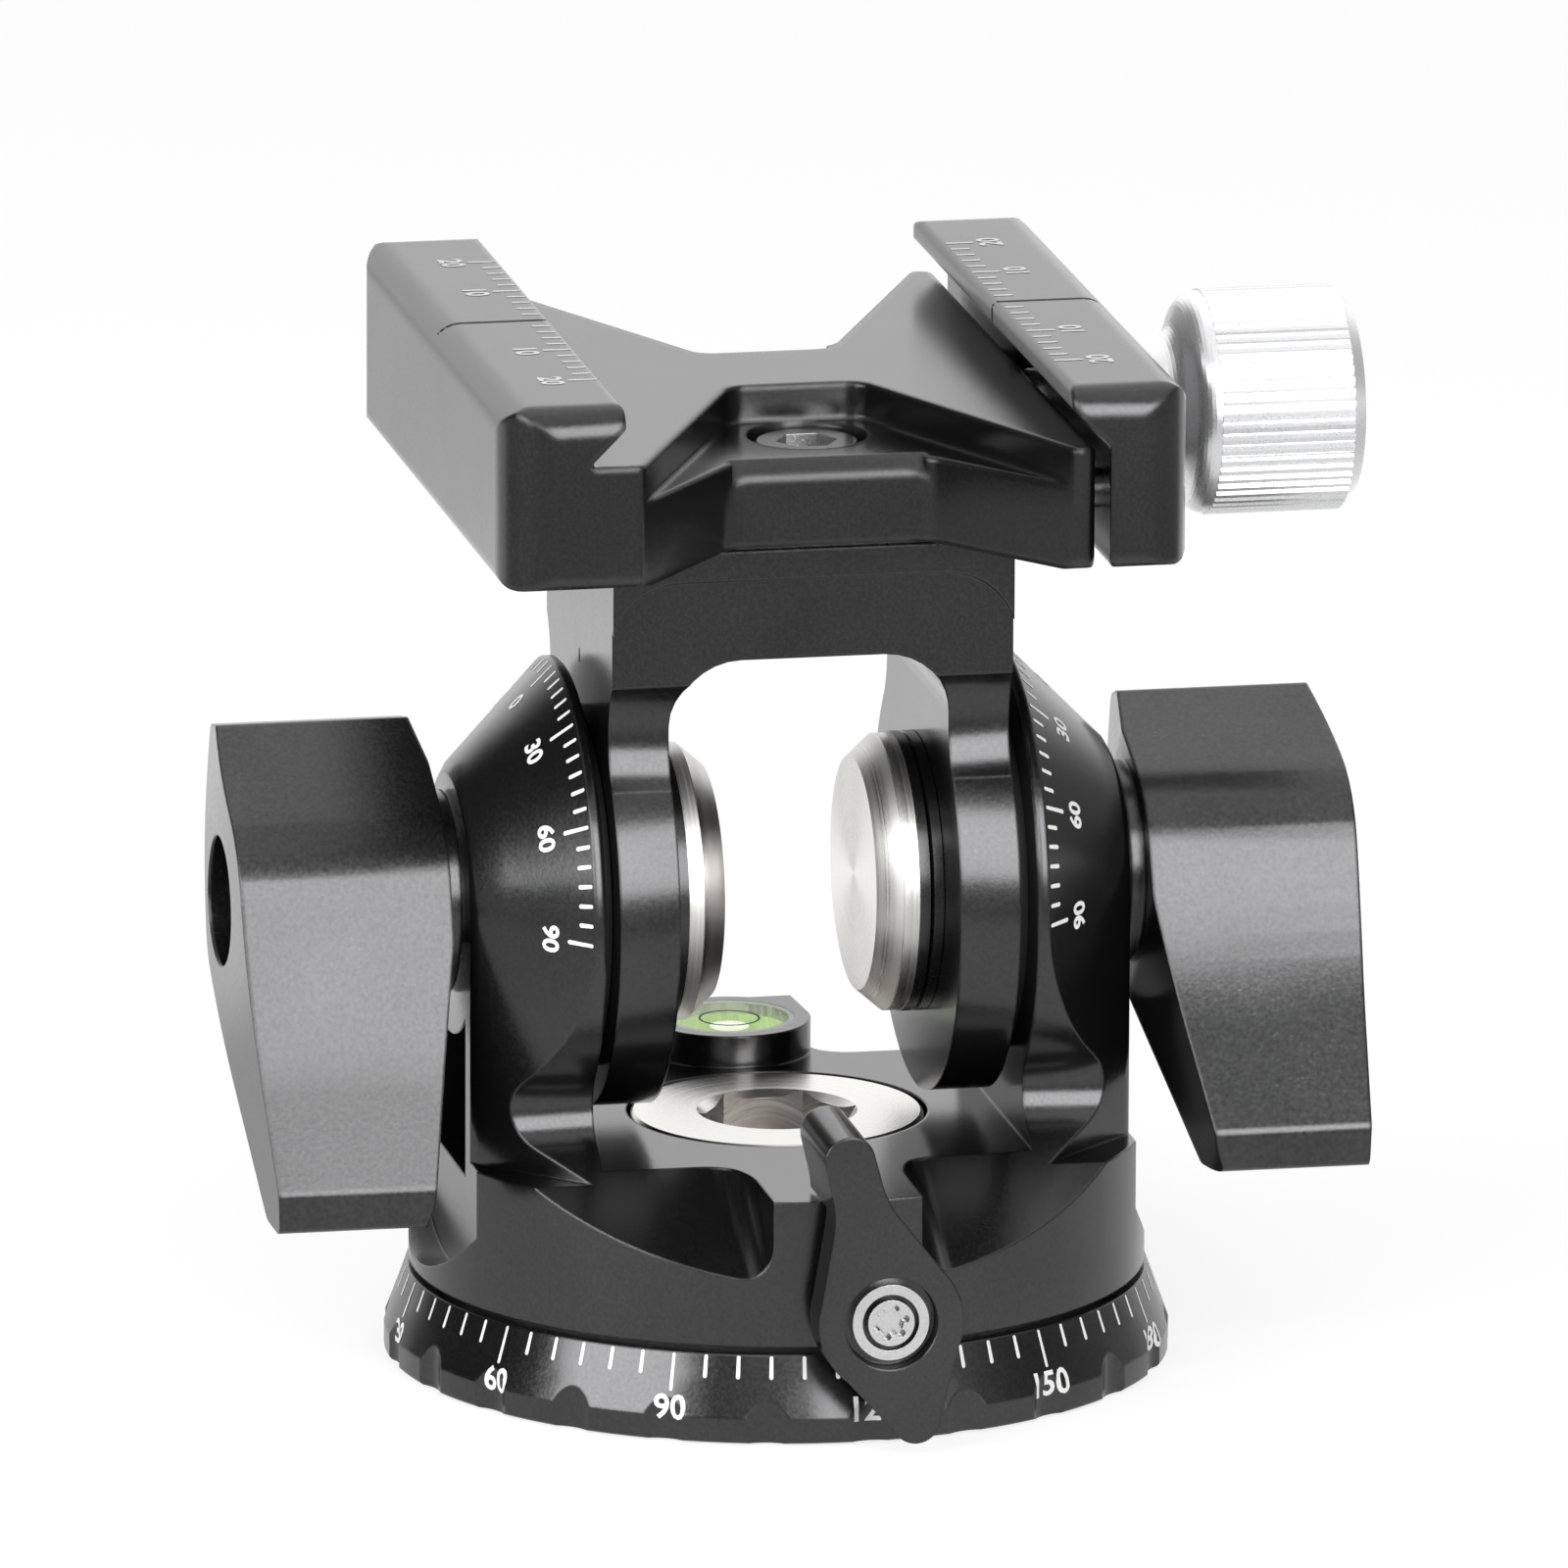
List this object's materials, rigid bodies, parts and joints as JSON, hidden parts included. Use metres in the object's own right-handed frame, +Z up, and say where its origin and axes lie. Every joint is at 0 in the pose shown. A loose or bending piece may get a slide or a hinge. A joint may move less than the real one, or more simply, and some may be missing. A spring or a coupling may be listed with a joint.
{
  "type": "tilt head",
  "caption": "Camera tilt head: a fork swings between scaled arms on a panning base, with side locking knobs, a pan lever, a bubble level and a screw-driven dovetail clamp.",
  "frame": {"origin": "middle of the underside, at the mouth of the camera thread", "axes": "+Z up along the pan axis, +X along the tilt axis towards the clamp knob, -Y towards the pan lever"},
  "size_m": [0.0855, 0.0636, 0.0795],
  "materials": {
    "black_anodised": "satin black anodised, bead blasted",
    "silver_anodised": "satin silver anodised",
    "stainless": "turned stainless steel",
    "black_steel": "black oxide",
    "bronze": "plain bearing bronze",
    "slip_polymer": "smooth slip polymer",
    "dark_polymer": "filled friction polymer",
    "level_cup": "smooth white",
    "level_fluid": "green level liquid",
    "clear_lens": "clear acrylic"
  },
  "bodies": {
    "base": {"base_ring": "black_anodised", "thread_insert": "stainless", "pan_axle": "stainless", "axle_washer": "bronze", "pan_washer": "slip_polymer"},
    "pan": {"pan_body": "black_anodised", "level_cup": "level_cup", "level_fluid": "level_fluid", "level_lens": "clear_lens", "pan_lock_shoe": "bronze", "pivot_bolt_left": "stainless", "pivot_bolt_right": "stainless", "pressure_ring_left": "black_steel", "pressure_ring_right": "black_steel", "friction_washer_left": "dark_polymer", "friction_washer_right": "dark_polymer", "knob_screw_left": "black_steel", "knob_screw_right": "black_steel"},
    "lever": {"pan_lever": "black_anodised", "pan_lock_stud": "stainless", "pan_lever_washer": "stainless", "pan_lever_screw": "stainless"},
    "left_knob": {"tilt_knob_left": "black_anodised"},
    "right_knob": {"tilt_knob_right": "black_anodised"},
    "fork": {"tilt_fork": "black_anodised", "clamp_base": "black_anodised", "clamp_mount_screws": "black_steel"},
    "jaw": {"clamp_jaw": "black_anodised", "jaw_guide_pins": "stainless"},
    "grip": {"clamp_knob": "silver_anodised", "clamp_screw": "stainless", "clamp_clip": "black_steel"}
  },
  "joints": [
    {"name": "pan_turn", "type": "hinge", "parent": "base", "child": "pan", "pos_m": [0, 0, 0.0069], "axis": [0, 0, 1], "continuous": true},
    {"name": "lever_turn", "type": "hinge", "parent": "pan", "child": "lever", "pos_m": [0.002, -0.0336, 0.0101], "axis": [0, -1, 0], "range_deg": [-28, 0]},
    {"name": "tilt", "type": "hinge", "parent": "pan", "child": "fork", "pos_m": [0, 0, 0.036], "axis": [1, 0, 0], "range_deg": [-90, 75]},
    {"name": "left_knob_turn", "type": "hinge", "parent": "pan", "child": "left_knob", "pos_m": [-0.034, 0, 0.036], "axis": [1, 0, 0], "range_deg": [-20, 100]},
    {"name": "right_knob_turn", "type": "hinge", "parent": "pan", "child": "right_knob", "pos_m": [0.034, 0, 0.036], "axis": [1, 0, 0], "range_deg": [-20, 100]},
    {"name": "jaw_slide", "type": "slide", "parent": "fork", "child": "jaw", "axis": [1, 0, 0], "range_m": [-0.0005, 0.005]},
    {"name": "clamp_knob_turn", "type": "hinge", "parent": "jaw", "child": "grip", "pos_m": [0.0385, 0, 0.0711], "axis": [1, 0, 0], "range_deg": [-146, 1450]}
  ],
  "couplings": [
    {"joint": "clamp_knob_turn", "follows": "jaw_slide", "rad_per_m": 5026.5}
  ]
}
